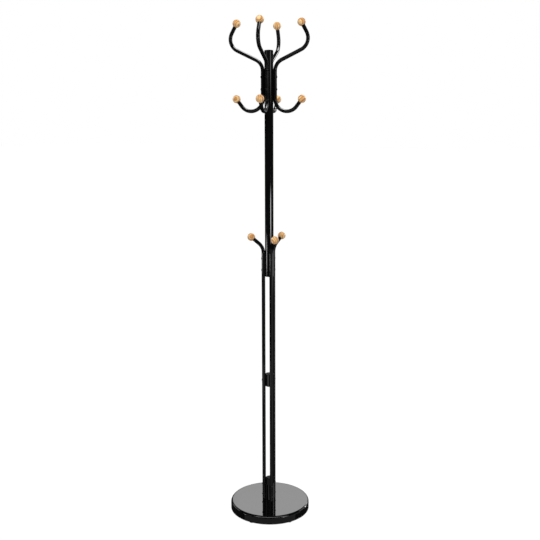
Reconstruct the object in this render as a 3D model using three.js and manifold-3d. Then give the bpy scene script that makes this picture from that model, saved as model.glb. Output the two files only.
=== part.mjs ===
// Standing coat rack: a weighted round base, three lower tubes that rise round two short connectors,
// a pole held between the tops of the tubes, and four double hooks round the top of the pole.
// Millimetres, +Z up. The origin is the centre of the underside, on the floor.
import * as THREE from "three";
import { mergeVertices } from "three/addons/utils/BufferGeometryUtils.js";
import Module from "manifold-3d";

const wasm = await Module();
wasm.setup();

// ---- Driving dimensions ----
const GAP = 0.3;

const TUBE_RADIUS = 6.75;
const TUBE_WALL = 1.0;
const BEND_RADIUS = 43;

const POLE_RADIUS = 15.75;
const POLE_WALL = 1.2;
const POLE_BOTTOM = 911.5;
const POLE_TOP = 1721;
const CAP_CROWN = 5;
const CAP_BRIM = 0.5;
const PLUG_FLANGE = 1.5;
const PLUG_BEVEL = 0.5;
const PLUG_DEPTH = 12;

const BASE_RADIUS = 150;
const BASE_TOP = 34.4;
const BASE_TOP_EDGE = 4.2;
const BASE_LOWER_EDGE = 3;
const SHELL_WALL = 1.2;
const PLATE_THICKNESS = 2;
const PLATE_HOLE_RADIUS = 18;

const PAD_COUNT = 6;
const PAD_RADIUS = 9.5;
const PAD_CIRCLE = 139;
const PAD_TURN = 16;
const PAD_BEVEL = 0.6;

const BALLAST_RADIUS = 115;
const BALLAST_THICKNESS = 12;
const BALLAST_BOSS_RADIUS = 30;
const BALLAST_RECESS_RADIUS = 16;
const BALLAST_RECESS_DEPTH = 7;

const BOLT_RADIUS = 4;
const BOLT_TIP_BEVEL = 1;
const BOLT_PAST_FLOOR = 2;
const BOLT_HEAD_RADIUS = 7.5;
const BOLT_HEAD_HEIGHT = 5.3;
const BOLT_HOLE_RADIUS = 4.8;
const WASHER_RADIUS = 12;
const WASHER_THICKNESS = 1.5;

const LOWER_CONNECTOR_TOP = 123.5;
const CONNECTOR_FLOOR = 8;
const MIDDLE_CONNECTOR_BOTTOM = 490.5;
const MIDDLE_CONNECTOR_TOP = 540.5;

const BALL_RADIUS = 14.55;
const BALL_BORE_RADIUS = 7.3;
const TUBE_IN_BALL = 12;

const SCREW_RADIUS = 2;
const SCREW_HOLE_RADIUS = 2.6;
const DRILL_PAST_WALL = 2;
const SCREW_HEAD_RADIUS = 3.8;
const SCREW_HEAD_HEIGHT = 1.6;
const SCREW_HEAD_RIM = 0.5;
const SCREW_CROWN_RADIUS = 2.6;
const SCREW_CROWN_HEIGHT = 1.35;
const SCREW_LENGTH = 16;

const HOOK_COUNT = 4;
const HOOK_SCREW_HEIGHTS = [1585, 1628];
const HOOK_BEND_BOTTOM = 1552;
const HOOK_BEND_TOP = 1648;
const HOOK_LOWER_TURN = 142.5;
const HOOK_LOWER_RUN = 32.6;
const HOOK_OUTWARD_TURN = 64.5;
const HOOK_OUTWARD_RUN = 76;
const HOOK_TIP_TURN = 93;
const HOOK_TIP_RUN = 37.5;

const LOWER_TUBE_COUNT = 3;
const LOWER_TUBE_TURN = 62;
const LOWER_TUBE_BEND = 1000;
const LOWER_TUBE_TIP_TURN = 51.4;
const LOWER_TUBE_TIP_RUN = 36.9;
const BASE_SCREW_HEIGHTS = [52, 95];
const MIDDLE_SCREW_HEIGHTS = [513];
const POLE_SCREW_HEIGHTS = [935, 978];

// ---- Worked-out sizes ----
const TUBE_CIRCLE = POLE_RADIUS + TUBE_RADIUS;
const BORE_WALL_RADIUS = POLE_RADIUS - POLE_WALL;
const TUBE_END_TO_BALL = BALL_RADIUS - TUBE_IN_BALL;
const PLATE_UNDERSIDE = BASE_LOWER_EDGE;
const BALLAST_BOTTOM = PLATE_UNDERSIDE + PLATE_THICKNESS + GAP;
const RECESS_FACE = BALLAST_BOTTOM + BALLAST_RECESS_DEPTH;
const CONNECTOR_BOTTOM = BASE_TOP + GAP;
const ROUND_SIDES = 20;
const BASE_SIDES = 40;
const BALL_SIDES = 12;
const BOLT_SIDES = 12;
const SCREW_SIDES = 8;
const TUBE_SIDES = 8;
const TUBE_BORE_SIDES = 6;
const BEND_STEP = 16;
const SCREW_SEAT = TUBE_CIRCLE + TUBE_RADIUS * Math.cos(Math.PI / TUBE_SIDES) + GAP;

const FINISHES = {
  black_steel: { color: 0x0b0b0c, roughness: 0.18, metalness: 0.1 },
  gloss_base: { color: 0x08080a, roughness: 0.06, metalness: 0.1 },
  wood: { color: 0xd9ac74, roughness: 0.45, metalness: 0 },
  black_plastic: { color: 0x101012, roughness: 0.4, metalness: 0 },
  screw_steel: { color: 0x151517, roughness: 0.35, metalness: 0.6 },
  zinc_steel: { color: 0xa9acb0, roughness: 0.4, metalness: 0.9 },
  cast_iron: { color: 0x3b3a38, roughness: 0.8, metalness: 0.5 },
  rubber: { color: 0x1a1a1a, roughness: 0.9, metalness: 0 },
};

const rack = new THREE.Group();

// ---- Solids ----
function toSolid(geometry) {
  const bare = geometry.clone();
  bare.deleteAttribute("normal");
  bare.deleteAttribute("uv");
  const welded = mergeVertices(bare, 1e-4);
  const corners = welded.index.array;
  const triangles = [];
  for (let i = 0; i < corners.length; i += 3) {
    const [a, b, c] = corners.slice(i, i + 3);
    if (a !== b && b !== c && c !== a) {
      triangles.push(a, b, c);
    }
  }
  return new wasm.Manifold(new wasm.Mesh({
    numProp: 3,
    vertProperties: welded.attributes.position.array,
    triVerts: new Uint32Array(triangles),
  }));
}

function toGeometry(solid) {
  const mesh = solid.getMesh();
  const geometry = new THREE.BufferGeometry();
  geometry.setAttribute("position", new THREE.BufferAttribute(mesh.vertProperties, 3));
  geometry.setIndex(new THREE.BufferAttribute(mesh.triVerts, 1));
  geometry.computeVertexNormals();
  return geometry;
}

// A profile of [radius, height] points turned about +Z.
function turned(profile, sides) {
  const points = profile.map(([radius, height]) => new THREE.Vector2(radius, height));
  return new THREE.LatheGeometry(points, sides).rotateX(Math.PI / 2);
}

// Points on an arc in a profile, from one angle to another in degrees, both ends included.
function arc(centreRadius, centreHeight, radius, from, to, steps) {
  const points = [];
  for (let i = 0; i <= steps; i += 1) {
    const angle = THREE.MathUtils.degToRad(from + ((to - from) * i) / steps);
    points.push([centreRadius + radius * Math.cos(angle), centreHeight + radius * Math.sin(angle)]);
  }
  return points;
}

// A cylinder along +X at a height, turned about Z, for a hole drilled towards the axis.
function drill(from, to, height, azimuth = 0) {
  const bit = new THREE.CylinderGeometry(SCREW_HOLE_RADIUS, SCREW_HOLE_RADIUS, to - from, SCREW_SIDES);
  bit.rotateZ(Math.PI / 2);
  bit.translate((from + to) / 2, 0, height);
  bit.rotateZ(THREE.MathUtils.degToRad(azimuth));
  return toSolid(bit);
}

function drilled(geometry, bits) {
  const body = toSolid(geometry);
  return toGeometry(bits.reduce((left, bit) => left.subtract(bit), body));
}

function place(parent, name, geometry, finish) {
  const mesh = new THREE.Mesh(geometry, new THREE.MeshStandardMaterial(FINISHES[finish]));
  mesh.name = name;
  parent.add(mesh);
  return mesh;
}

// A group turned about Z, so that its +X points outwards along the azimuth.
function spoke(azimuth) {
  const group = new THREE.Group();
  group.rotation.z = THREE.MathUtils.degToRad(azimuth);
  rack.add(group);
  return group;
}

// ---- Tube routes in the XZ plane ----
// A route is drawn from a start point and heading by straight runs and bends of one radius.
class Route extends THREE.Curve {
  constructor(x, z, heading) {
    super();
    this.heading = THREE.MathUtils.degToRad(heading);
    this.points = [new THREE.Vector3(x, 0, z)];
    this.headings = [this.heading];
  }

  station(x, z) {
    this.points.push(new THREE.Vector3(x, 0, z));
    this.headings.push(this.heading);
  }

  run(length) {
    const end = this.points.at(-1);
    this.station(end.x + length * Math.cos(this.heading), end.z + length * Math.sin(this.heading));
    return this;
  }

  bend(degrees) {
    const side = Math.sign(degrees);
    const start = this.points.at(-1);
    const centreX = start.x - side * BEND_RADIUS * Math.sin(this.heading);
    const centreZ = start.z + side * BEND_RADIUS * Math.cos(this.heading);
    const steps = Math.ceil(Math.abs(degrees) / BEND_STEP);
    for (let i = 0; i < steps; i += 1) {
      this.heading += THREE.MathUtils.degToRad(degrees / steps);
      const x = centreX + side * BEND_RADIUS * Math.sin(this.heading);
      const z = centreZ - side * BEND_RADIUS * Math.cos(this.heading);
      this.station(x, z);
    }
    return this;
  }

  at(list, t) {
    const place = t * (this.points.length - 1);
    const index = Math.min(Math.floor(place), this.points.length - 2);
    return [list[index], list[index + 1], place - index];
  }

  getPoint(t) {
    const [before, after, part] = this.at(this.points, t);
    return before.clone().lerp(after, part);
  }

  getTangent(t) {
    const [before, after, part] = this.at(this.headings, t);
    const heading = before + (after - before) * part;
    return new THREE.Vector3(Math.cos(heading), 0, Math.sin(heading));
  }

  getUtoTmapping(u) {
    return u;
  }
}

function ring(radius, sides) {
  const path = [];
  for (let i = 0; i < sides; i += 1) {
    const angle = ((i + 0.5) * 2 * Math.PI) / sides;
    path.push(new THREE.Vector2(radius * Math.cos(angle), radius * Math.sin(angle)));
  }
  return path;
}

function tube(route) {
  const section = new THREE.Shape(ring(TUBE_RADIUS, TUBE_SIDES));
  section.holes.push(new THREE.Path(ring(TUBE_RADIUS - TUBE_WALL, TUBE_BORE_SIDES)));
  return new THREE.ExtrudeGeometry(section, {
    steps: route.points.length - 1,
    extrudePath: route,
    bevelEnabled: false,
    curveSegments: 1,
  });
}

// ---- Base ----
function baseShell() {
  const outer = BASE_RADIUS - BASE_TOP_EDGE;
  const lower = BASE_LOWER_EDGE + SHELL_WALL;
  const inside = BASE_RADIUS - SHELL_WALL;
  const ceiling = BASE_TOP - SHELL_WALL;
  const corner = BASE_TOP - BASE_TOP_EDGE;
  const profile = [
    [BOLT_HOLE_RADIUS, ceiling],
    ...arc(outer, corner, BASE_TOP_EDGE - SHELL_WALL, 90, 0, 3),
    [inside, BASE_LOWER_EDGE],
    [BASE_RADIUS - SHELL_WALL / 2, BASE_LOWER_EDGE],
    [BASE_RADIUS, lower],
    ...arc(outer, corner, BASE_TOP_EDGE, 0, 90, 4),
    [BOLT_HOLE_RADIUS, BASE_TOP],
    [BOLT_HOLE_RADIUS, ceiling],
  ];
  place(rack, "base_shell", toGeometry(toSolid(turned(profile, BASE_SIDES))), "gloss_base");
}

function ballastWeight() {
  const top = BALLAST_BOTTOM + BALLAST_THICKNESS;
  const bossTop = BASE_TOP - SHELL_WALL - GAP;
  const profile = [
    [BOLT_HOLE_RADIUS, RECESS_FACE],
    [BALLAST_RECESS_RADIUS, RECESS_FACE],
    [BALLAST_RECESS_RADIUS, BALLAST_BOTTOM],
    [BALLAST_RADIUS, BALLAST_BOTTOM],
    [BALLAST_RADIUS, top],
    [BALLAST_BOSS_RADIUS, top],
    [BALLAST_BOSS_RADIUS, bossTop],
    [BOLT_HOLE_RADIUS, bossTop],
    [BOLT_HOLE_RADIUS, RECESS_FACE],
  ];
  place(rack, "ballast_weight", toGeometry(toSolid(turned(profile, BASE_SIDES))), "cast_iron");
}

function basePlate() {
  const edge = BASE_RADIUS - SHELL_WALL - 3 * GAP;
  const top = PLATE_UNDERSIDE + PLATE_THICKNESS;
  const profile = [
    [PLATE_HOLE_RADIUS, PLATE_UNDERSIDE],
    [edge, PLATE_UNDERSIDE],
    [edge, top],
    [PLATE_HOLE_RADIUS, top],
    [PLATE_HOLE_RADIUS, PLATE_UNDERSIDE],
  ];
  place(rack, "base_bottom_plate", toGeometry(toSolid(turned(profile, BASE_SIDES))), "black_plastic");
}

function footPads() {
  const top = PLATE_UNDERSIDE - GAP;
  const profile = [
    [0, 0],
    [PAD_RADIUS - PAD_BEVEL, 0],
    [PAD_RADIUS, PAD_BEVEL],
    [PAD_RADIUS, top],
    [0, top],
  ];
  for (let i = 0; i < PAD_COUNT; i += 1) {
    const pad = place(
      spoke(PAD_TURN + (i * 360) / PAD_COUNT),
      `foot_pad_${i + 1}`,
      toGeometry(toSolid(turned(profile, ROUND_SIDES - 4))),
      "rubber",
    );
    pad.position.x = PAD_CIRCLE;
  }
}

function centreBolt() {
  const seat = RECESS_FACE - WASHER_THICKNESS - 2 * GAP;
  const tip = CONNECTOR_BOTTOM + CONNECTOR_FLOOR + BOLT_PAST_FLOOR;
  const shank = turned([
    [0, seat],
    [BOLT_RADIUS, seat],
    [BOLT_RADIUS, tip - BOLT_TIP_BEVEL],
    [BOLT_RADIUS - BOLT_TIP_BEVEL, tip],
    [0, tip],
  ], BOLT_SIDES);
  const head = new THREE.CylinderGeometry(BOLT_HEAD_RADIUS, BOLT_HEAD_RADIUS, BOLT_HEAD_HEIGHT, 6);
  head.rotateX(Math.PI / 2);
  head.translate(0, 0, seat - BOLT_HEAD_HEIGHT / 2);
  place(rack, "centre_bolt", toGeometry(toSolid(head).add(toSolid(shank))), "zinc_steel");

  const washerTop = RECESS_FACE - GAP;
  const washerBottom = washerTop - WASHER_THICKNESS;
  const washer = turned([
    [BOLT_HOLE_RADIUS, washerBottom],
    [WASHER_RADIUS, washerBottom],
    [WASHER_RADIUS, washerTop],
    [BOLT_HOLE_RADIUS, washerTop],
    [BOLT_HOLE_RADIUS, washerBottom],
  ], ROUND_SIDES);
  place(rack, "bolt_washer", toGeometry(toSolid(washer)), "zinc_steel");
}

// ---- Pole and connectors ----
// A pipe with holes drilled in its wall at each azimuth and height.
function pipe(bottom, top, azimuths, heights) {
  const wall = turned([
    [BORE_WALL_RADIUS, bottom],
    [POLE_RADIUS, bottom],
    [POLE_RADIUS, top],
    [BORE_WALL_RADIUS, top],
    [BORE_WALL_RADIUS, bottom],
  ], ROUND_SIDES);
  return drilled(wall, wallBits(azimuths, heights));
}

function wallBits(azimuths, heights) {
  const inside = BORE_WALL_RADIUS - DRILL_PAST_WALL;
  const outside = POLE_RADIUS + DRILL_PAST_WALL;
  return azimuths.flatMap((azimuth) => heights.map((height) => drill(inside, outside, height, azimuth)));
}

function azimuths(count, first) {
  return Array.from({ length: count }, (_, i) => first + (i * 360) / count);
}

// A plug whose flange closes a pipe's end; its skirt goes down inside. Direction 1 faces up, -1 down.
function plug(name, pipeEnd, direction, rim, finish) {
  const skirt = BORE_WALL_RADIUS - 2 * GAP;
  const seat = GAP / 3;
  const profile = [
    [0, -PLUG_DEPTH],
    [skirt, -PLUG_DEPTH],
    [skirt, seat],
    [POLE_RADIUS, seat],
    ...rim,
    [0, rim.at(-1)[1]],
  ];
  const geometry = turned(profile, ROUND_SIDES);
  if (direction < 0) {
    geometry.rotateX(Math.PI);
  }
  const mesh = place(rack, name, toGeometry(toSolid(geometry)), finish);
  mesh.position.z = pipeEnd;
}

function flatRim() {
  return [[POLE_RADIUS, PLUG_FLANGE - PLUG_BEVEL], [POLE_RADIUS - PLUG_BEVEL, PLUG_FLANGE]];
}

function domedRim() {
  const rounding = CAP_CROWN - CAP_BRIM;
  return arc(POLE_RADIUS - rounding, CAP_BRIM, rounding, 0, 90, 3);
}

function mainPole() {
  const hookAzimuths = azimuths(HOOK_COUNT, 0);
  const tubeAzimuths = azimuths(LOWER_TUBE_COUNT, LOWER_TUBE_TURN);
  const bottom = POLE_BOTTOM + PLUG_FLANGE;
  const top = POLE_TOP - CAP_CROWN;
  const wall = toSolid(pipe(bottom, top, hookAzimuths, HOOK_SCREW_HEIGHTS));
  const bits = wallBits(tubeAzimuths, POLE_SCREW_HEIGHTS);
  place(rack, "main_pole", toGeometry(bits.reduce((left, bit) => left.subtract(bit), wall)), "black_steel");
  plug("pole_top_cap", top, 1, domedRim(), "black_plastic");
  plug("pole_bottom_plug", bottom, -1, flatRim(), "black_plastic");
}

function middleConnector() {
  const bottom = MIDDLE_CONNECTOR_BOTTOM + PLUG_FLANGE;
  const top = MIDDLE_CONNECTOR_TOP - PLUG_FLANGE;
  const tubeAzimuths = azimuths(LOWER_TUBE_COUNT, LOWER_TUBE_TURN);
  place(rack, "middle_connector", pipe(bottom, top, tubeAzimuths, MIDDLE_SCREW_HEIGHTS), "black_steel");
  plug("middle_connector_top_plug", top, 1, flatRim(), "black_plastic");
  plug("middle_connector_bottom_plug", bottom, -1, flatRim(), "black_plastic");
}

// The lower connector has a thick welded floor, tapped for the centre bolt.
function lowerConnector() {
  const top = LOWER_CONNECTOR_TOP - PLUG_FLANGE;
  const floorTop = CONNECTOR_BOTTOM + CONNECTOR_FLOOR;
  const body = turned([
    [BOLT_HOLE_RADIUS, CONNECTOR_BOTTOM],
    [POLE_RADIUS, CONNECTOR_BOTTOM],
    [POLE_RADIUS, top],
    [BORE_WALL_RADIUS, top],
    [BORE_WALL_RADIUS, floorTop],
    [BOLT_HOLE_RADIUS, floorTop],
    [BOLT_HOLE_RADIUS, CONNECTOR_BOTTOM],
  ], ROUND_SIDES);
  const bits = wallBits(azimuths(LOWER_TUBE_COUNT, LOWER_TUBE_TURN), BASE_SCREW_HEIGHTS);
  place(rack, "lower_connector", drilled(body, bits), "black_steel");
  plug("lower_connector_cap", top, 1, flatRim(), "black_plastic");
}

// ---- Balls, screws, tubes and hooks ----
// The ball sits on a tube's end, with a blind bore that the tube goes into.
function ball(parent, name, route, heading) {
  const bore = -TUBE_END_TO_BALL + GAP;
  const mouthAngle = THREE.MathUtils.radToDeg(Math.acos(BALL_BORE_RADIUS / BALL_RADIUS));
  const profile = [
    [0, bore],
    [BALL_BORE_RADIUS, bore],
    ...arc(0, 0, BALL_RADIUS, -mouthAngle, 90, BALL_SIDES / 2),
  ];
  profile.at(-1)[0] = 0;
  const mesh = place(parent, name, toGeometry(toSolid(turned(profile, BALL_SIDES))), "wood");
  const end = route.points.at(-1);
  mesh.position.set(
    end.x + TUBE_END_TO_BALL * Math.cos(heading),
    0,
    end.z + TUBE_END_TO_BALL * Math.sin(heading),
  );
  mesh.rotation.y = Math.PI / 2 - heading;
}

function screw(parent, name, height) {
  const profile = [
    [0, -SCREW_LENGTH],
    [SCREW_RADIUS, -SCREW_LENGTH],
    [SCREW_RADIUS, 0],
    [SCREW_HEAD_RADIUS, 0],
    [SCREW_HEAD_RADIUS, SCREW_HEAD_RIM],
    [SCREW_CROWN_RADIUS, SCREW_CROWN_HEIGHT],
    [0, SCREW_HEAD_HEIGHT],
  ];
  const mesh = place(parent, name, toGeometry(toSolid(turned(profile, SCREW_SIDES))), "screw_steel");
  mesh.rotation.y = Math.PI / 2;
  mesh.position.set(SCREW_SEAT, 0, height);
}

function tubeBits(heights) {
  const inner = TUBE_CIRCLE - TUBE_RADIUS - DRILL_PAST_WALL;
  const outer = TUBE_CIRCLE + TUBE_RADIUS + DRILL_PAST_WALL;
  return heights.map((height) => drill(inner, outer, height));
}

function lowerTubes() {
  const heights = [...BASE_SCREW_HEIGHTS, ...MIDDLE_SCREW_HEIGHTS, ...POLE_SCREW_HEIGHTS];
  azimuths(LOWER_TUBE_COUNT, LOWER_TUBE_TURN).forEach((azimuth, i) => {
    const parent = spoke(azimuth);
    const route = new Route(TUBE_CIRCLE, CONNECTOR_BOTTOM, 90)
      .run(LOWER_TUBE_BEND - CONNECTOR_BOTTOM)
      .bend(-LOWER_TUBE_TIP_TURN)
      .run(LOWER_TUBE_TIP_RUN - TUBE_END_TO_BALL);
    place(parent, `lower_tube_${i + 1}`, drilled(tube(route), tubeBits(heights)), "black_steel");
    ball(parent, `side_ball_${i + 1}`, route, route.heading);
    heights.forEach((height, j) => screw(parent, `tube_screw_${i + 1}_${j + 1}`, height));
  });
}

function doubleHooks() {
  azimuths(HOOK_COUNT, 0).forEach((azimuth, i) => {
    const parent = spoke(azimuth);
    const lower = new Route(TUBE_CIRCLE, HOOK_BEND_BOTTOM, -90)
      .bend(HOOK_LOWER_TURN)
      .run(HOOK_LOWER_RUN - TUBE_END_TO_BALL);
    const lowerEnd = lower.points.at(-1);
    const upturn = THREE.MathUtils.radToDeg(lower.heading);
    const whole = new Route(lowerEnd.x, lowerEnd.z, upturn - 180)
      .run(HOOK_LOWER_RUN - TUBE_END_TO_BALL)
      .bend(-HOOK_LOWER_TURN)
      .run(HOOK_BEND_TOP - HOOK_BEND_BOTTOM)
      .bend(-HOOK_OUTWARD_TURN)
      .run(HOOK_OUTWARD_RUN)
      .bend(HOOK_TIP_TURN)
      .run(HOOK_TIP_RUN - TUBE_END_TO_BALL);
    const hook = drilled(tube(whole), tubeBits(HOOK_SCREW_HEIGHTS));
    place(parent, `double_hook_${i + 1}`, hook, "black_steel");
    ball(parent, `lower_ball_${i + 1}`, lower, lower.heading);
    ball(parent, `upper_ball_${i + 1}`, whole, whole.heading);
    HOOK_SCREW_HEIGHTS.forEach((height, j) => screw(parent, `hook_screw_${i + 1}_${j + 1}`, height));
  });
}

baseShell();
ballastWeight();
basePlate();
footPads();
centreBolt();
lowerConnector();
middleConnector();
mainPole();
lowerTubes();
doubleHooks();

export default rack;
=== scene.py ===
"""Standing coat rack: smooth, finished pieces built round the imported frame, in metres."""

import math

import bpy
from mathutils import Matrix, Vector


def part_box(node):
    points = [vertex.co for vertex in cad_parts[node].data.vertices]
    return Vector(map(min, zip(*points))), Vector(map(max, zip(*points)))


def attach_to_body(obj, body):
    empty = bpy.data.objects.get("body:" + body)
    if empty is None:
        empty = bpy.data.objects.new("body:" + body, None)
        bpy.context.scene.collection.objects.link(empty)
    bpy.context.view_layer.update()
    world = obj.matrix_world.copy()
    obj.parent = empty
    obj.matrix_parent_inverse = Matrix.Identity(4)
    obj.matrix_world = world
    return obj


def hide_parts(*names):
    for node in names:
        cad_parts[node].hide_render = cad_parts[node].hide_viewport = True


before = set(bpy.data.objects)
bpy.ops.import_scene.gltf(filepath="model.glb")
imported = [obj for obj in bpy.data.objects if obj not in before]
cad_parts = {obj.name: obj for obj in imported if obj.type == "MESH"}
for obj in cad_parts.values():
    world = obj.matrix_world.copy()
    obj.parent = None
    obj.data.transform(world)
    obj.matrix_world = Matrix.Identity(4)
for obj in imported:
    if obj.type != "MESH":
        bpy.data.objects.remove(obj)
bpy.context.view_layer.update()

MM = 0.001

# ---- Driving sizes, in metres ----
TUBE_RADIUS = 6.75 * MM
TUBE_WALL = 1.0 * MM
BEND_RADIUS = 43 * MM
BEND_OVAL = 0.03
BEND_STEP = 3.0
SUPPORT = 0.4 * MM
PIPE_WALL = 1.2 * MM
SHELL_WALL = 1.2 * MM
BASE_EDGE_WIDTH = 6.5 * MM
BASE_EDGE_DEPTH = 8.5 * MM
BALL_RADIUS = 14.35 * MM
TUBE_IN_BALL = 12 * MM
SCREW_HEAD_RADIUS = 3.8 * MM
SCREW_HEAD_HEIGHT = 1.2 * MM
SCREW_LENGTH = 15 * MM
DOME_STEPS = 16

HOOK_COUNT = 4
HOOK_BEND_BOTTOM = 1552 * MM
HOOK_BEND_TOP = 1648 * MM
HOOK_LOWER_TURN = 142.5
HOOK_LOWER_RUN = 32.6 * MM
HOOK_OUTWARD_TURN = 64.5
HOOK_OUTWARD_RUN = 76 * MM
HOOK_TIP_TURN = 93
HOOK_TIP_RUN = 37.5 * MM

LOWER_TUBE_COUNT = 3
LOWER_TUBE_TURN = 62
LOWER_TUBE_BEND = 1000 * MM
LOWER_TUBE_TIP_TURN = 51.4
LOWER_TUBE_TIP_RUN = 36.9 * MM

# ---- Places read from the frame ----
BASE_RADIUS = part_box("base_shell")[1].x
BASE_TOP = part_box("base_shell")[1].z
BASE_LOWER_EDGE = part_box("base_shell")[0].z
POLE_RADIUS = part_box("main_pole")[1].x
TUBE_CIRCLE = POLE_RADIUS + TUBE_RADIUS
TUBE_END_TO_BALL = BALL_RADIUS - TUBE_IN_BALL


# ---- Node materials ----
class Shader:
    """A procedural material: its Principled shader and short ways to add nodes to it."""

    def __init__(self, name, placement=None):
        self.material = bpy.data.materials.new(name)
        self.material.use_nodes = True
        self.tree = self.material.node_tree
        self.principled = self.tree.nodes["Principled BSDF"]
        self.position = self.node("ShaderNodeTexCoord").outputs["Object"]
        if placement is not None:
            place, turn, _ = placement.inverted().decompose()
            self.position = self.placed(offset=place, turn=turn.to_euler())

    def node(self, kind, **settings):
        made = self.tree.nodes.new(kind)
        for key, value in settings.items():
            setattr(made, key, value)
        return made

    def link(self, output, target):
        self.tree.links.new(output, target)

    def set(self, **values):
        for key, value in values.items():
            self.principled.inputs[key.replace("_", " ")].default_value = value

    def placed(self, scale=(1, 1, 1), offset=(0, 0, 0), turn=(0, 0, 0)):
        mapping = self.node("ShaderNodeMapping")
        mapping.inputs["Scale"].default_value = scale
        mapping.inputs["Location"].default_value = offset
        mapping.inputs["Rotation"].default_value = turn
        self.link(self.position, mapping.inputs["Vector"])
        return mapping.outputs["Vector"]

    def noise(self, vector, scale, detail=3.0, roughness=0.5, distortion=0.0):
        made = self.node("ShaderNodeTexNoise")
        self.link(vector, made.inputs["Vector"])
        made.inputs["Scale"].default_value = scale
        made.inputs["Detail"].default_value = detail
        made.inputs["Roughness"].default_value = roughness
        made.inputs["Distortion"].default_value = distortion
        return made.outputs["Fac"]

    def ramp(self, factor, stops):
        made = self.node("ShaderNodeValToRGB")
        ramp = made.color_ramp
        while len(ramp.elements) < len(stops):
            ramp.elements.new(0.5)
        for element, (place, colour) in zip(ramp.elements, stops):
            element.position = place
            element.color = (*colour, 1.0)
        self.link(factor, made.inputs["Fac"])
        return made.outputs["Color"]

    def spread(self, factor, low, high):
        made = self.node("ShaderNodeMapRange")
        made.inputs["To Min"].default_value = low
        made.inputs["To Max"].default_value = high
        self.link(factor, made.inputs["Value"])
        return made.outputs["Result"]

    def mix(self, factor, first, second, blend="MIX"):
        made = self.node("ShaderNodeMix", data_type="RGBA", blend_type=blend)
        for value, name in ((factor, "Factor"), (first, "A"), (second, "B")):
            sockets = [s for s in made.inputs if s.name == name and s.enabled]
            if isinstance(value, (int, float)):
                sockets[0].default_value = value
            elif isinstance(value, tuple):
                sockets[0].default_value = (*value, 1.0)
            else:
                self.link(value, sockets[0])
        return next(s for s in made.outputs if s.enabled)

    def colour(self, output):
        self.link(output, self.principled.inputs["Base Color"])

    def roughness(self, output):
        self.link(output, self.principled.inputs["Roughness"])

    def bump(self, heights):
        """Heights is a list of (output, depth in metres), the broadest first."""
        normal = None
        for height, depth in heights:
            made = self.node("ShaderNodeBump")
            made.inputs["Strength"].default_value = 1.0
            made.inputs["Distance"].default_value = depth
            self.link(height, made.inputs["Height"])
            if normal is not None:
                self.link(normal, made.inputs["Normal"])
            normal = made.outputs["Normal"]
        self.link(normal, self.principled.inputs["Normal"])


def enamel(name, dark, light, roughness, peel_depth):
    """Black stoved enamel: faint orange peel, and slow changes of gloss along the surface."""
    shader = Shader(name)
    shader.set(IOR=1.5)
    clouds = shader.noise(shader.position, 14, 4, 0.55)
    shader.colour(shader.ramp(clouds, [(0.3, dark), (0.75, light)]))
    smears = shader.noise(shader.placed(scale=(1, 1, 0.25), offset=(3, 1, 7)), 45, 5, 0.6, 0.4)
    shader.roughness(shader.spread(smears, *roughness))
    peel = shader.noise(shader.position, 420, 2, 0.4)
    shader.bump([(peel, peel_depth)])
    return shader.material


def varnished_wood(name, index, placement):
    """Light turned wood under clear varnish. Each ball is cut from another place in the board."""
    shader = Shader(name, placement)
    shader.set(IOR=1.5, Coat_Weight=0.55, Coat_Roughness=0.08, Coat_IOR=1.5, Sheen_Weight=0.3)
    turn = (0.5 + 0.37 * index, 1.2 + 0.61 * index, 0.3 * index)
    offset = (0.031 * index, 0.017 * index, 0.023 * index)
    board = shader.placed(scale=(1, 1, 0.16), offset=offset, turn=turn)
    wander = shader.noise(board, 90, 3, 0.5)
    rings = shader.node("ShaderNodeTexWave", wave_type="RINGS", rings_direction="Z")
    rings.inputs["Scale"].default_value = 55
    rings.inputs["Distortion"].default_value = 5
    rings.inputs["Detail"].default_value = 3
    rings.inputs["Detail Scale"].default_value = 0.8
    shader.link(board, rings.inputs["Vector"])
    grain = shader.ramp(rings.outputs["Fac"], [
        (0.0, (0.405, 0.185, 0.050)),
        (0.4, (0.55, 0.313, 0.108)),
        (0.85, (0.69, 0.480, 0.230)),
    ])
    fibres = shader.noise(shader.placed(scale=(1, 1, 0.05), offset=offset, turn=turn), 1500, 3, 0.6)
    pores = shader.ramp(fibres, [(0.33, (0.60, 0.50, 0.40)), (0.5, (1.0, 1.0, 1.0))])
    toned = shader.mix(0.55, grain, pores, "MULTIPLY")
    patches = shader.ramp(wander, [(0.4, (0.72, 0.52, 0.33)), (0.56, (1.0, 1.0, 1.0))])
    shader.colour(shader.mix(0.85, toned, patches, "MULTIPLY"))
    shader.roughness(shader.spread(fibres, 0.38, 0.55))
    shader.bump([(rings.outputs["Fac"], 0.03 * MM), (fibres, 0.02 * MM)])
    return shader.material


def moulded_plastic(name, roughness):
    shader = Shader(name)
    shader.set(IOR=1.46)
    clouds = shader.noise(shader.position, 60, 3)
    shader.colour(shader.ramp(clouds, [(0.3, (0.0025, 0.0025, 0.0028)), (0.7, (0.005, 0.005, 0.0054))]))
    grain = shader.noise(shader.position, 1800, 2, 0.6)
    shader.roughness(shader.spread(clouds, *roughness))
    shader.bump([(grain, 0.02 * MM)])
    return shader.material


def plated_steel(name, low, high, metallic, roughness):
    """Screws and the centre bolt: plated or blackened steel with fine turning marks."""
    shader = Shader(name)
    shader.set(Metallic=metallic)
    clouds = shader.noise(shader.position, 500, 4, 0.6)
    shader.colour(shader.ramp(clouds, [(0.3, low), (0.7, high)]))
    marks = shader.noise(shader.placed(scale=(1, 1, 9)), 900, 3)
    shader.roughness(shader.spread(marks, *roughness))
    shader.bump([(marks, 0.01 * MM)])
    return shader.material


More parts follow.
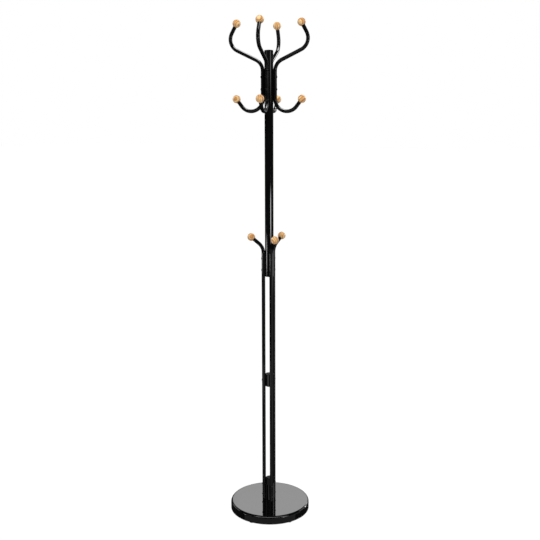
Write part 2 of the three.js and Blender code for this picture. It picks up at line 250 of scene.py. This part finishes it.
def cast_iron(name):
    shader = Shader(name)
    shader.set(Metallic=0.35)
    clouds = shader.noise(shader.position, 55, 5, 0.65)
    rust = shader.noise(shader.placed(offset=(2, 5, 1)), 22, 6, 0.7)
    skin = shader.ramp(clouds, [(0.3, (0.055, 0.052, 0.050)), (0.75, (0.12, 0.115, 0.11))])
    spots = shader.ramp(rust, [(0.58, (0.0, 0.0, 0.0)), (0.72, (1.0, 1.0, 1.0))])
    shader.colour(shader.mix(spots, skin, (0.16, 0.075, 0.035)))
    shader.roughness(shader.spread(clouds, 0.65, 0.9))
    sand = shader.noise(shader.position, 700, 4, 0.7)
    shader.bump([(clouds, 0.5 * MM), (sand, 0.25 * MM)])
    return shader.material


def rubber(name):
    shader = Shader(name)
    clouds = shader.noise(shader.position, 260, 4, 0.6)
    shader.colour(shader.ramp(clouds, [(0.3, (0.018, 0.018, 0.018)), (0.75, (0.035, 0.034, 0.033))]))
    shader.roughness(shader.spread(clouds, 0.7, 0.9))
    shader.bump([(shader.noise(shader.position, 1500, 3, 0.6), 0.06 * MM)])
    return shader.material


TUBE_ENAMEL = enamel(
    "tube_enamel", (0.0012, 0.0012, 0.0014), (0.0025, 0.0025, 0.0028), (0.03, 0.06), 0.002 * MM)
BASE_ENAMEL = enamel(
    "base_enamel", (0.0010, 0.0010, 0.0011), (0.0018, 0.0018, 0.0019), (0.015, 0.04), 0.0008 * MM)
GLOSS_PLASTIC = moulded_plastic("gloss_plastic", (0.10, 0.2))
MATTE_PLASTIC = moulded_plastic("matte_plastic", (0.45, 0.6))
BLACK_SCREW = plated_steel(
    "black_screw_steel", (0.012, 0.012, 0.013), (0.03, 0.03, 0.032), 0.6, (0.22, 0.36))
ZINC = plated_steel("zinc_plate", (0.46, 0.47, 0.49), (0.62, 0.63, 0.65), 0.95, (0.25, 0.42))
BALLAST_IRON = cast_iron("ballast_iron")
PAD_RUBBER = rubber("pad_rubber")


# ---- Mesh tools ----
def make_piece(name, points, faces, material, sharp_degrees=35.0):
    mesh = bpy.data.meshes.new(name)
    mesh.from_pydata([tuple(p) for p in points], [], faces)
    mesh.validate()
    mesh.shade_smooth()
    mesh.set_sharp_from_angle(angle=math.radians(sharp_degrees))
    mesh.materials.append(material)
    piece = bpy.data.objects.new(name, mesh)
    bpy.context.scene.collection.objects.link(piece)
    return piece


def attach(piece, slot, *nodes):
    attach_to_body(piece, "root")
    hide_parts(*nodes)


def filleted(corners, steps=6):
    """A closed profile from (radius, height, fillet) corners: each corner becomes an arc of its fillet."""
    points = []
    for i, (x, z, fillet) in enumerate(corners):
        here = Vector((x, z))
        before = Vector(corners[i - 1][:2]) - here
        after = Vector(corners[(i + 1) % len(corners)][:2]) - here
        if fillet <= 0:
            points.append(here)
            continue
        half = before.angle(after) / 2
        cut = min(fillet / math.tan(half), 0.49 * before.length, 0.49 * after.length)
        radius = cut * math.tan(half)
        centre = here + (before.normalized() + after.normalized()).normalized() * (radius / math.sin(half))
        start = here + before.normalized() * cut - centre
        end = here + after.normalized() * cut - centre
        sweep = start.angle_signed(end)
        for j in range(steps + 1):
            turn = -sweep * j / steps
            c, s = math.cos(turn), math.sin(turn)
            points.append(centre + Vector((start.x * c - start.y * s, start.x * s + start.y * c)))
    return supported(points)


def supported(points):
    """Adds a point near each end of every long side, so that smooth shading keeps the side straight."""
    made = []
    for i, start in enumerate(points):
        end = points[(i + 1) % len(points)]
        made.append(start)
        if (end - start).length > 4 * SUPPORT:
            inset = (end - start).normalized() * SUPPORT
            made += [start + inset, end - inset]
    return made


def turned(name, corners, material, sides=96, shape=None, steps=6, sharp_degrees=35.0):
    """A profile turned about Z. shape(angle, radius, height) may bend the circle, as for a hexagon."""
    profile = filleted(corners, steps)
    points, rings = [], []
    for x, z in profile:
        if x < 1e-7:
            rings.append([len(points)] * sides)
            points.append((0.0, 0.0, z))
            continue
        rings.append(list(range(len(points), len(points) + sides)))
        for k in range(sides):
            angle = 2 * math.pi * k / sides
            radius = shape(angle, x, z) if shape else x
            points.append((radius * math.cos(angle), radius * math.sin(angle), z))
    faces = []
    for i, ring in enumerate(rings):
        after = rings[(i + 1) % len(rings)]
        for k in range(sides):
            m = (k + 1) % sides
            corner = [ring[k], ring[m], after[m], after[k]]
            face = list(dict.fromkeys(corner))
            if len(face) > 2:
                faces.append(face)
    return make_piece(name, points, faces, material, sharp_degrees)


def spoke(azimuth):
    return Matrix.Rotation(math.radians(azimuth), 4, "Z")


class Route:
    """A bent tube's centre line in the XZ plane, drawn by straight runs and bends of one radius."""

    def __init__(self, x, z, heading):
        self.heading = math.radians(heading)
        self.stations = [(Vector((x, 0, z)), self.heading, 0.0)]

    def end(self):
        return self.stations[-1][0]

    def run(self, length):
        ahead = Vector((math.cos(self.heading), 0, math.sin(self.heading)))
        start = self.end()
        for distance in (SUPPORT, length - SUPPORT, length):
            self.stations.append((start + ahead * distance, self.heading, 0.0))
        return self

    def bend(self, degrees):
        side = math.copysign(BEND_RADIUS, degrees)
        start = self.end()
        centre = start + Vector((-math.sin(self.heading), 0, math.cos(self.heading))) * side
        steps = math.ceil(abs(degrees) / BEND_STEP)
        for i in range(1, steps + 1):
            self.heading += math.radians(degrees / steps)
            point = centre + Vector((math.sin(self.heading), 0, -math.cos(self.heading))) * side
            oval = BEND_OVAL * math.sin(math.pi * i / steps)
            self.stations.append((point, self.heading, oval))
        return self


def bent_tube(name, route, material, azimuth, sides=40):
    """A hollow tube along a route. Its section flattens a little in the bends, as bent tube does."""
    edge = TUBE_WALL * 0.3
    bore = TUBE_RADIUS - TUBE_WALL
    turn = spoke(azimuth)

    def ring(station, radius, shift=0.0):
        point, heading, oval = station
        ahead = Vector((math.cos(heading), 0, math.sin(heading)))
        across = Vector((-math.sin(heading), 0, math.cos(heading)))
        middle = point + ahead * shift
        made = []
        for k in range(sides):
            angle = 2 * math.pi * k / sides
            flat = across * (math.cos(angle) * radius * (1 - oval))
            wide = Vector((0, 1, 0)) * (math.sin(angle) * radius * (1 + oval / 2))
            made.append(turn @ (middle + flat + wide))
        return made

    first, last = route.stations[0], route.stations[-1]
    rings = [ring(first, TUBE_RADIUS - edge), ring(first, TUBE_RADIUS, edge)]
    rings += [ring(station, TUBE_RADIUS) for station in route.stations[1:-1]]
    rings += [ring(last, TUBE_RADIUS, -edge), ring(last, TUBE_RADIUS - edge)]
    rings += [ring(station, bore) for station in reversed(route.stations)]
    points = [p for made in rings for p in made]
    faces = []
    for i in range(len(rings)):
        a, b = i * sides, (i + 1) % len(rings) * sides
        for k in range(sides):
            m = (k + 1) % sides
            faces.append([a + k, b + k, b + m, a + m])
    return make_piece(name, points, faces, material)


# ---- Base ----
def base_edge(inset):
    """The pressed edge of the base from its flat top down to its wall: a quarter of an ellipse."""
    steps = 24
    made = []
    for i in range(steps + 1):
        angle = math.radians(90) * i / steps
        x = BASE_RADIUS - BASE_EDGE_WIDTH + (BASE_EDGE_WIDTH - inset) * math.sin(angle)
        z = BASE_TOP - BASE_EDGE_DEPTH + (BASE_EDGE_DEPTH - inset) * math.cos(angle)
        made.append((x, z, 0))
    return made


def base_shell():
    hole = 4.8 * MM
    roll = 0.55 * MM
    piece = turned("base_shell_piece", [
        (hole, BASE_TOP - SHELL_WALL, 0),
        *base_edge(SHELL_WALL),
        (BASE_RADIUS - SHELL_WALL, BASE_LOWER_EDGE, roll),
        (BASE_RADIUS, BASE_LOWER_EDGE, roll),
        *reversed(base_edge(0)),
        (hole, BASE_TOP, 0),
    ], BASE_ENAMEL, sides=192)
    attach(piece, "gloss_black_base", "base_shell")


def ballast_weight():
    low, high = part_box("ballast_weight")
    edge = 2 * MM
    slab = low.z + 12 * MM
    recess = low.z + 7 * MM
    piece = turned("ballast_weight_piece", [
        (4.8 * MM, recess, 0),
        (16 * MM, recess, edge),
        (16 * MM, low.z, edge),
        (high.x, low.z, edge),
        (high.x, slab, edge),
        (30 * MM, slab, 2 * edge),
        (30 * MM, high.z, edge),
        (4.8 * MM, high.z, 0),
    ], BALLAST_IRON)
    attach(piece, "ballast_iron", "ballast_weight")


def bottom_plate():
    """A moulded disc with a hole over the bolt and shallow stiffening rings on its upper side."""
    low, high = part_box("base_bottom_plate")
    edge = 0.4 * MM
    rib = 0.7 * MM
    corners = [(18 * MM, low.z, edge), (high.x, low.z, edge), (high.x, high.z, edge)]
    for radius in (125 * MM, 90 * MM, 55 * MM):
        corners += [(radius + 2 * rib, high.z, edge), (radius + rib, high.z - rib, edge)]
        corners += [(radius - rib, high.z - rib, edge), (radius - 2 * rib, high.z, edge)]
    corners.append((18 * MM, high.z, edge))
    piece = turned("base_bottom_plate_piece", corners, MATTE_PLASTIC, sides=128, steps=3)
    attach(piece, "black_plastic", "base_bottom_plate")


def foot_pads():
    for name in sorted(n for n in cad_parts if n.startswith("foot_pad_")):
        low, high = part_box(name)
        radius = (high.x - low.x) / 2
        piece = turned(name + "_piece", [
            (0, 0.5 * MM, 0),
            (radius * 0.45, 0.5 * MM, 0.3 * MM),
            (radius * 0.6, 0, 0.3 * MM),
            (radius, 0, 0.6 * MM),
            (radius, high.z, 0.3 * MM),
            (0, high.z, 0),
        ], PAD_RUBBER, sides=48, steps=4)
        piece.location = ((low.x + high.x) / 2, (low.y + high.y) / 2, low.z)
        attach(piece, "rubber_pad", name)


def hexagon(angle, flat_distance):
    """The radius of a hexagon with its flats at that distance from the axis."""
    sector = math.radians(60)
    return flat_distance / math.cos((angle % sector) - sector / 2)


def centre_bolt():
    low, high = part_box("centre_bolt")
    head_top = low.z + 5.3 * MM
    flat = 6.5 * MM
    shank = 4 * MM

    def head_shape(angle, radius, height):
        return min(radius, hexagon(angle, flat)) if radius > shank + MM else radius

    piece = turned("centre_bolt_piece", [
        (0, low.z, 0),
        (6.3 * MM, low.z, 0),
        (7.5 * MM, low.z + 0.7 * MM, 0),
        (7.5 * MM, head_top, 0),
        (shank, head_top, 0.2 * MM),
        (shank, high.z, 0.8 * MM),
        (0, high.z, 0),
    ], ZINC, sides=96, shape=head_shape, sharp_degrees=25)
    attach(piece, "zinc_steel", "centre_bolt")

    low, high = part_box("bolt_washer")
    edge = 0.25 * MM
    washer = turned("bolt_washer_piece", [
        (4.8 * MM, low.z, edge),
        (high.x, low.z, edge),
        (high.x, high.z, edge),
        (4.8 * MM, high.z, edge),
    ], ZINC, sides=64, steps=3)
    attach(washer, "zinc_steel", "bolt_washer")


# ---- Pole and connectors ----
def pipe(node):
    low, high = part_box(node)
    edge = 0.35 * MM
    bore = POLE_RADIUS - PIPE_WALL
    piece = turned(node + "_piece", [
        (bore, low.z, edge),
        (POLE_RADIUS, low.z, edge),
        (POLE_RADIUS, high.z, edge),
        (bore, high.z, edge),
    ], TUBE_ENAMEL, steps=4)
    attach(piece, "black_tube", node)


def lower_connector():
    low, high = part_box("lower_connector")
    edge = 0.35 * MM
    bore = POLE_RADIUS - PIPE_WALL
    floor = low.z + 8 * MM
    hole = 4.8 * MM
    piece = turned("lower_connector_piece", [
        (hole, low.z, edge),
        (POLE_RADIUS, low.z, edge),
        (POLE_RADIUS, high.z, edge),
        (bore, high.z, edge),
        (bore, floor, 3 * edge),
        (hole, floor, edge),
    ], TUBE_ENAMEL, steps=4)
    attach(piece, "black_tube", "lower_connector")


def plug(node, material, faces_up, rounding, crown):
    """A plug in a pipe's end: a thin-walled skirt inside, and a low dome over the pipe's edge."""
    low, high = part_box(node)
    skirt = POLE_RADIUS - PIPE_WALL - 0.6 * MM
    length = high.z - low.z
    depth = 12 * MM
    corners = [
        (0, depth - 2 * MM, 0),
        (skirt - 1.6 * MM, depth - 2 * MM, MM),
        (skirt - 1.6 * MM, 0, 0.3 * MM),
        (skirt, 0, 0.5 * MM),
        (skirt, depth, 0.2 * MM),
        (POLE_RADIUS, depth, 0.3 * MM),
    ]
    shoulder = POLE_RADIUS - rounding
    brim = length - crown
    dome = (shoulder**2 + crown**2) / (2 * crown)
    corners.append((POLE_RADIUS, brim, rounding))
    for i in range(1, DOME_STEPS):
        reach = shoulder * (1 - i / DOME_STEPS)
        corners.append((reach, length - dome + math.sqrt(dome**2 - reach**2), 0))
    corners.append((0, length, 0))
    if not faces_up:
        corners = [(x, length - z, fillet) for x, z, fillet in reversed(corners)]
    piece = turned(node + "_piece", corners, material, steps=10)
    piece.location.z = low.z
    attach(piece, "black_plastic", node)


# ---- Balls, screws, tubes and hooks ----
def ball_profile():
    """A turned ball with a chamfered blind bore below."""
    bore = TUBE_RADIUS + 0.12 * MM
    mouth = math.asin(bore / BALL_RADIUS)
    chamfer = 0.35 * MM
    steps = 48
    corners = [(0, -TUBE_END_TO_BALL, 0), (bore, -TUBE_END_TO_BALL, 0)]
    corners.append((bore, -BALL_RADIUS * math.cos(mouth) + chamfer, 0))
    start = math.asin((bore + chamfer) / BALL_RADIUS)
    for i in range(steps):
        angle = start + (math.pi - start) * i / steps
        corners.append((BALL_RADIUS * math.sin(angle), -BALL_RADIUS * math.cos(angle), 0))
    corners.append((0, BALL_RADIUS, 0))
    return corners


def ball(node, index, azimuth, route):
    ahead = Vector((math.cos(route.heading), 0, math.sin(route.heading)))
    centre = route.end() + ahead * TUBE_END_TO_BALL
    tilt = Matrix.Rotation(math.pi / 2 - route.heading, 4, "Y")
    placement = spoke(azimuth) @ Matrix.Translation(centre) @ tilt
    wood = varnished_wood(f"wood_{node}", index, placement)
    piece = turned(node + "_piece", ball_profile(), wood, sides=64)
    piece.data.transform(placement)
    attach(piece, "varnished_wood", node)


def screw(node, azimuth):
    """A button-head screw with a hexagon socket, lying along its spoke."""
    low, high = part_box(node)
    socket = 1.25 * MM
    socket_floor = SCREW_HEAD_HEIGHT - 1.3 * MM

    def socket_shape(angle, radius, height):
        inside = radius < socket * 1.05 and height > socket_floor - 0.1 * MM
        return hexagon(angle, socket) if inside else radius

    crown = [(SCREW_HEAD_RADIUS, 0.55 * MM, 0.2 * MM)]
    for share in (0.85, 0.68, 0.5):
        drop = (SCREW_HEAD_HEIGHT - 0.55 * MM) * (1 - math.sqrt(1 - share**2)) * 1.15
        crown.append((SCREW_HEAD_RADIUS * share, SCREW_HEAD_HEIGHT - drop, 0))
    piece = turned(node + "_piece", [
        (0, socket_floor, 0),
        (socket, socket_floor, 0),
        (socket, SCREW_HEAD_HEIGHT - 0.12 * MM, 0),
        (socket * 1.3, SCREW_HEAD_HEIGHT, 0.1 * MM),
        *reversed(crown),
        (SCREW_HEAD_RADIUS, 0, 0.15 * MM),
        (2 * MM, 0, 0),
        (2 * MM, -SCREW_LENGTH, 0.4 * MM),
        (0, -SCREW_LENGTH, 0),
    ], BLACK_SCREW, sides=48, shape=socket_shape, steps=3, sharp_degrees=28)
    seat = Matrix.Translation((TUBE_CIRCLE + TUBE_RADIUS, 0, (low.z + high.z) / 2))
    piece.matrix_world = spoke(azimuth) @ seat @ Matrix.Rotation(math.pi / 2, 4, "Y")
    attach(piece, "black_screw", node)


def screws(prefix, azimuth):
    for node in sorted(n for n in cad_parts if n.startswith(prefix)):
        screw(node, azimuth)


def lower_tubes():
    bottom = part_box("lower_tube_1")[0].z
    for i in range(LOWER_TUBE_COUNT):
        azimuth = LOWER_TUBE_TURN + i * 360 / LOWER_TUBE_COUNT
        route = Route(TUBE_CIRCLE, bottom, 90).run(LOWER_TUBE_BEND - bottom)
        route.bend(-LOWER_TUBE_TIP_TURN).run(LOWER_TUBE_TIP_RUN - TUBE_END_TO_BALL)
        node = f"lower_tube_{i + 1}"
        attach(bent_tube(node + "_piece", route, TUBE_ENAMEL, azimuth), "black_tube", node)
        ball(f"side_ball_{i + 1}", 8 + i, azimuth, route)
        screws(f"tube_screw_{i + 1}_", azimuth)


def double_hooks():
    for i in range(HOOK_COUNT):
        azimuth = i * 360 / HOOK_COUNT
        lower = Route(TUBE_CIRCLE, HOOK_BEND_BOTTOM, -90).bend(HOOK_LOWER_TURN)
        lower.run(HOOK_LOWER_RUN - TUBE_END_TO_BALL)
        back = math.degrees(lower.heading) - 180
        whole = Route(lower.end().x, lower.end().z, back).run(HOOK_LOWER_RUN - TUBE_END_TO_BALL)
        whole.bend(-HOOK_LOWER_TURN).run(HOOK_BEND_TOP - HOOK_BEND_BOTTOM).bend(-HOOK_OUTWARD_TURN)
        whole.run(HOOK_OUTWARD_RUN).bend(HOOK_TIP_TURN).run(HOOK_TIP_RUN - TUBE_END_TO_BALL)
        node = f"double_hook_{i + 1}"
        attach(bent_tube(node + "_piece", whole, TUBE_ENAMEL, azimuth), "black_tube", node)
        ball(f"upper_ball_{i + 1}", i, azimuth, whole)
        ball(f"lower_ball_{i + 1}", 4 + i, azimuth, lower)
        screws(f"hook_screw_{i + 1}_", azimuth)


base_shell()
ballast_weight()
bottom_plate()
foot_pads()
centre_bolt()
lower_connector()
pipe("middle_connector")
pipe("main_pole")
plug("lower_connector_cap", MATTE_PLASTIC, True, 0.3 * MM, 1.1 * MM)
plug("middle_connector_top_plug", MATTE_PLASTIC, True, 0.3 * MM, 1.1 * MM)
plug("middle_connector_bottom_plug", GLOSS_PLASTIC, False, 0.3 * MM, 1.1 * MM)
plug("pole_top_cap", GLOSS_PLASTIC, True, 3 * MM, 1.5 * MM)
plug("pole_bottom_plug", GLOSS_PLASTIC, False, 0.3 * MM, 1.1 * MM)
lower_tubes()
double_hooks()

# ---- Camera ----
CAMERA_SIDE = 14.93
CAMERA_DISTANCE = 3.0222
CAMERA_HEIGHT = 1.5159
CAMERA_PITCH = 10.862
CAMERA_YAW = 0.045
CAMERA_ROLL = -0.136
LENS = 55.82


def make_camera():
    data = bpy.data.cameras.new("camera")
    data.sensor_width = 36.0
    data.lens = LENS
    camera = bpy.data.objects.new("camera", data)
    bpy.context.scene.collection.objects.link(camera)
    side = math.radians(CAMERA_SIDE)
    place = Vector((math.sin(side), -math.cos(side), 0)) * CAMERA_DISTANCE
    place.z = CAMERA_HEIGHT
    heading = Matrix.Rotation(math.radians(CAMERA_SIDE - CAMERA_YAW), 4, "Z")
    tilt = Matrix.Rotation(math.radians(90 - CAMERA_PITCH), 4, "X")
    roll = Matrix.Rotation(math.radians(CAMERA_ROLL), 4, "Z")
    camera.matrix_world = Matrix.Translation(place) @ heading @ tilt @ roll
    bpy.context.scene.camera = camera


# ---- Studio: a pale floor, and soft light from all round with cards of brighter and darker tone ----
FLOOR_SIZE = 60.0
FLOOR_GLOW = 0.95
SKY_LEVEL = 0.62
DARK_LEVEL = 0.02
# Cards of light: degrees round from the camera, half width, lowest and highest elevation, blur, level.
CARDS = (
    (162, 22, 20, 33, 2, 2.15),
    (162, 22, 25.5, 33, 2, 0.6),
    (162, 22, -8, 20, 2, 0.45),
    (140, 4, 12, 22, 2, 7.0),
    (115, 20, 9, 26, 4, 1.8),
    (-118, 20, 9, 26, 4, 1.5),
    (-38, 9, 12, 24, 2, 1.5),
    (44, 9, 1.5, 12, 1.5, 2.4),
    (-60, 8, 2, 10, 1.5, 0.8),
    (41, 8, -8.6, -5.6, 0.7, 13.0),
    (-74, 4, -10.9, -8.8, 0.6, 18.0),
    (126, 12, -12.0, -9.2, 1.0, 1.5),
    (55, 42, -22, -9.2, 1.2, 0.4),
    (-40, 24, -19.4, -17.4, 0.8, 0.9),
    (0, 80, -60, -22, 2, 0.2),
)


def make_floor():
    half = FLOOR_SIZE / 2
    mesh = bpy.data.meshes.new("floor")
    corners = [(-half, -half, 0), (half, -half, 0), (half, half, 0), (-half, half, 0)]
    mesh.from_pydata(corners, [], [(0, 1, 2, 3)])
    floor = bpy.data.objects.new("floor", mesh)
    bpy.context.scene.collection.objects.link(floor)
    shader = Shader("floor_paper")
    shader.set(Base_Color=(0.06, 0.06, 0.06, 1), Roughness=0.9, Emission_Color=(1, 1, 1, 1))
    shader.set(Emission_Strength=FLOOR_GLOW)
    mesh.materials.append(shader.material)
    floor.visible_glossy = False


def make_world():
    world = bpy.data.worlds.new("studio")
    world.use_nodes = True
    tree = world.node_tree
    tree.nodes.clear()

    def node(kind, **settings):
        made = tree.nodes.new(kind)
        for key, value in settings.items():
            setattr(made, key, value)
        return made

    def math_node(operation, first, second=None):
        made = node("ShaderNodeMath", operation=operation)
        for socket, value in zip(made.inputs, (first, second)):
            if value is None:
                continue
            if isinstance(value, (int, float)):
                socket.default_value = value
            else:
                tree.links.new(value, socket)
        return made.outputs[0]

    def soft_step(value, low, high):
        made = node("ShaderNodeMapRange", interpolation_type="SMOOTHSTEP")
        made.inputs["From Min"].default_value = low
        made.inputs["From Max"].default_value = high
        tree.links.new(value, made.inputs["Value"])
        return made.outputs["Result"]

    direction = node("ShaderNodeTexCoord").outputs["Generated"]
    parts = node("ShaderNodeSeparateXYZ")
    tree.links.new(direction, parts.inputs[0])
    azimuth = math_node("ARCTAN2", parts.outputs["Y"], parts.outputs["X"])
    level = DARK_LEVEL
    for side, half_width, low, high, blur, strength in CARDS:
        centre = math.radians(CAMERA_SIDE - 90 + side)
        turn = math_node("COSINE", math_node("SUBTRACT", azimuth, centre))
        outside, inside = (math.cos(math.radians(half_width + edge)) for edge in (blur, -blur))
        card = soft_step(turn, outside, inside)
        for edge, inward in ((low, blur), (high, -blur)):
            outside, inside = (math.sin(math.radians(edge + reach)) for reach in (-inward, inward))
            card = math_node("MULTIPLY", card, soft_step(parts.outputs["Z"], outside, inside))
        level = math_node("ADD", math_node("MULTIPLY", card, strength), level)

    path = node("ShaderNodeLightPath")
    sky = math_node("MULTIPLY", path.outputs["Is Diffuse Ray"], SKY_LEVEL)
    soft = math_node("ADD", path.outputs["Is Camera Ray"], sky)
    glossy = math_node("MULTIPLY", path.outputs["Is Glossy Ray"], level)
    total = math_node("ADD", soft, glossy)
    background = node("ShaderNodeBackground")
    background.inputs["Color"].default_value = (1, 1, 1, 1)
    output = node("ShaderNodeOutputWorld")
    tree.links.new(total, background.inputs["Strength"])
    tree.links.new(background.outputs[0], output.inputs["Surface"])
    bpy.context.scene.world = world


LIGHT_AIM_HEIGHT = 1.2
HOOKS_LIGHT_HEIGHT = 1.7
HOOKS_FRONT_LIGHT_HEIGHT = 1.75


def area_light(name, side, elevation, distance, size, power, aim_height=LIGHT_AIM_HEIGHT):
    data = bpy.data.lights.new(name, "AREA")
    data.shape = "RECTANGLE"
    data.size, data.size_y = size
    data.energy = power
    light = bpy.data.objects.new(name, data)
    bpy.context.scene.collection.objects.link(light)
    azimuth = math.radians(CAMERA_SIDE - 90 + side)
    rise = math.radians(elevation)
    aim = Vector((0, 0, aim_height))
    level = math.cos(rise)
    outward = Vector((math.cos(azimuth) * level, math.sin(azimuth) * level, math.sin(rise)))
    light.location = aim + outward * distance
    light.rotation_euler = outward.to_track_quat("Z", "Y").to_euler()
    light.visible_camera = False
    light.visible_glossy = False
    return light


def mirrored_light(name, side, elevation, distance, size, power, aim_height, receivers):
    """A softbox that lights the named pieces only, and shows in their reflections."""
    light = area_light(name, side, elevation, distance, size, power, aim_height)
    light.visible_glossy = True
    lit = bpy.data.collections.new(name + "_receivers")
    light.light_linking.receiver_collection = lit
    for piece in receivers:
        lit.objects.link(bpy.data.objects[piece])


make_camera()
make_floor()
make_world()
area_light("key_softbox", 10, 62, 5.0, (1.6, 1.6), 255)
area_light("fill_softbox", -55, 20, 3.2, (1.0, 1.6), 15)
hooks = [f"double_hook_{i + 1}_piece" for i in range(HOOK_COUNT)]
mirrored_light("edge_strip", 3, 32, 3.0, (5.0, 0.5), 45, BASE_TOP, ["base_shell_piece"])
mirrored_light("side_lamp", 119, 3, 3.0, (0.35, 0.25), 9, BASE_TOP, ["base_shell_piece"])
mirrored_light("overhead_softbox", 115, 73, 1.5, (1.2, 1.2), 60, HOOKS_LIGHT_HEIGHT, hooks)
mirrored_light("front_softbox", 36, 54, 2.0, (1.3, 0.35), 11, HOOKS_FRONT_LIGHT_HEIGHT, hooks)
bpy.context.scene.view_settings.view_transform = "Standard"
